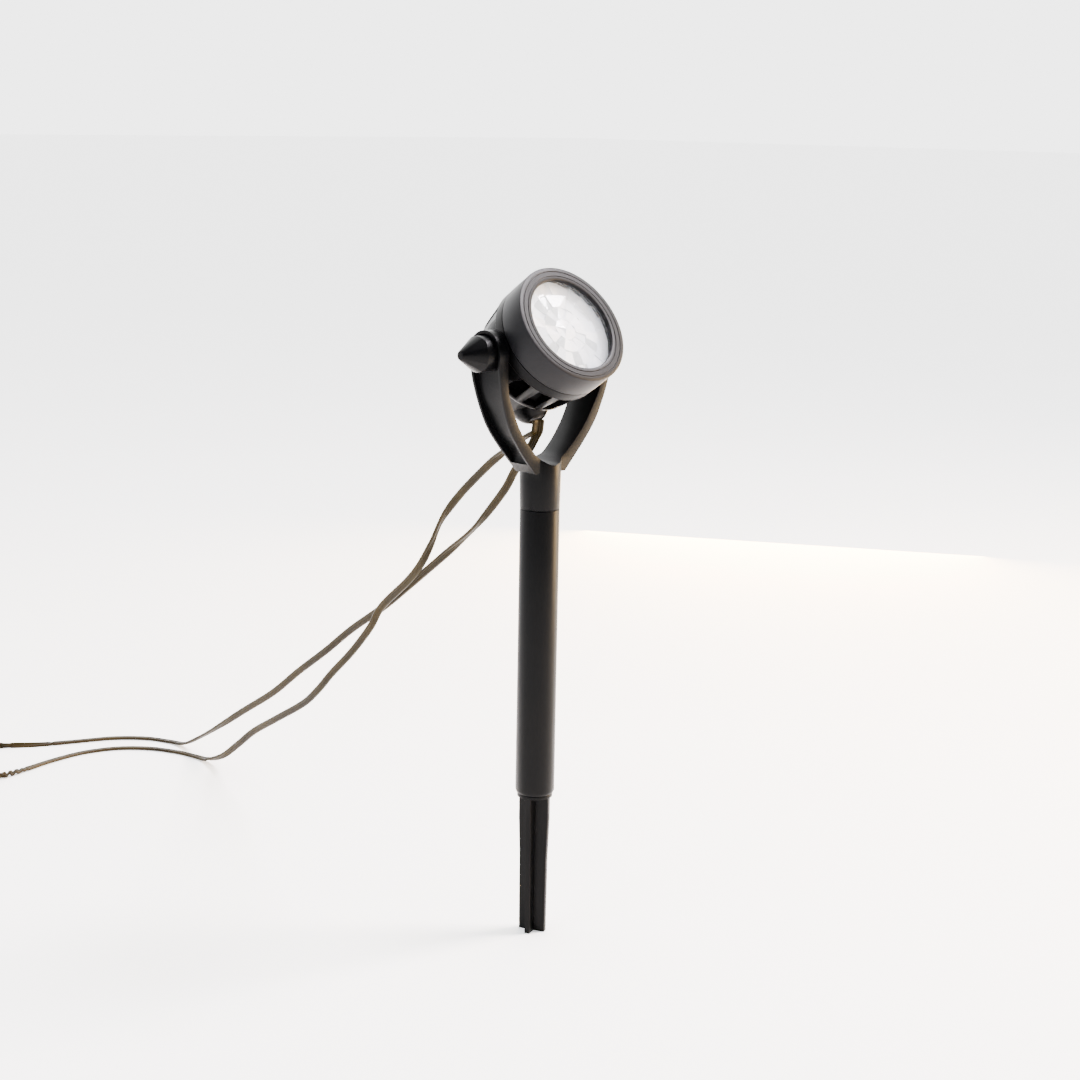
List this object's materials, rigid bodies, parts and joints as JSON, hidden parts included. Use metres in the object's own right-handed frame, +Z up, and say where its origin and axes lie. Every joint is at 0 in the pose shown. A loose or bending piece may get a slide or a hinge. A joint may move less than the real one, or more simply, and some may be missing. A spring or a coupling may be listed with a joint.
{
  "type": "light projector stake",
  "caption": "Garden light projector on a ground stake: a round lamp head with a clear window and a turning faceted lens, held by thumb knobs in a forked yoke, with two flat cords.",
  "frame": {"origin": "on the stake's axis at the soil surface, where the spike is pushed in to", "axes": "+Z up along the tube; +X along the pivot axis through the two knobs; the lamp faces -Y and upwards"},
  "size_m": [0.3043, 0.6846, 0.5315],
  "materials": {
    "black_plastic": "satin",
    "bezel_plastic": "satin",
    "clear_plastic": "polished",
    "facet_plastic": "polished",
    "rubber": "matte",
    "steel": "brushed",
    "brass": "satin",
    "aluminium": "satin",
    "board_green": "gloss",
    "white_plastic": "satin",
    "cord_pvc": "satin",
    "tie_pvc": "satin"
  },
  "bodies": {
    "stake": {"ground_spike": "black_plastic", "stake_tube": "black_plastic", "fork": "black_plastic", "supply_cord": "cord_pvc", "link_cord": "cord_pvc", "supply_cord_end": "cord_pvc", "link_cord_end": "cord_pvc", "supply_coil": "cord_pvc", "link_coil": "cord_pvc", "supply_tie": "tie_pvc", "link_tie": "tie_pvc", "supply_plug": "rubber", "link_socket": "rubber", "plug_blade_1": "brass", "plug_blade_2": "brass"},
    "head": {"front_bezel": "bezel_plastic", "cover_window": "clear_plastic", "window_gasket": "rubber", "window_spacer": "black_plastic", "bezel_seal": "rubber", "rear_housing": "black_plastic", "heat_spreader": "aluminium", "led_board": "white_plastic", "led_1": "clear_plastic", "led_2": "clear_plastic", "led_3": "clear_plastic", "led_4": "clear_plastic", "led_5": "clear_plastic", "led_6": "clear_plastic", "reflector": "white_plastic", "board_screw_1": "steel", "board_screw_2": "steel", "board_screw_3": "steel", "motor_screw_1": "steel", "motor_screw_2": "steel", "drive_motor": "steel", "lamp_wire_1": "rubber", "lamp_wire_2": "rubber", "driver_board": "board_green", "capacitor": "aluminium", "choke": "rubber", "cord_grommet": "rubber", "cord_clip": "white_plastic", "supply_cord_lead": "cord_pvc", "link_cord_lead": "cord_pvc", "supply_cord_inner": "cord_pvc", "link_cord_inner": "cord_pvc", "left_nut": "brass", "right_nut": "brass", "left_washer": "rubber", "right_washer": "rubber"},
    "pattern_wheel": {"pattern_lens": "facet_plastic", "lens_hub": "white_plastic", "drive_shaft": "steel"},
    "left_clamp": {"left_knob": "black_plastic", "left_stud": "steel"},
    "right_clamp": {"right_knob": "black_plastic", "right_stud": "steel"}
  },
  "joints": [
    {"name": "head_tilt", "type": "hinge", "parent": "stake", "child": "head", "pos_m": [0, 0, 0.3772], "axis": [1, 0, 0], "range_deg": [-52, 55]},
    {"name": "left_knob_turn", "type": "hinge", "parent": "stake", "child": "left_clamp", "pos_m": [-0.045, 0, 0.3772], "axis": [1, 0, 0], "range_deg": [0, 360]},
    {"name": "right_knob_turn", "type": "hinge", "parent": "stake", "child": "right_clamp", "pos_m": [0.045, 0, 0.3772], "axis": [1, 0, 0], "range_deg": [0, 360]},
    {"name": "lens_turn", "type": "hinge", "parent": "head", "child": "pattern_wheel", "pos_m": [0, 0, 0.3772], "axis": [0, -0.8261, 0.5635], "continuous": true}
  ]
}
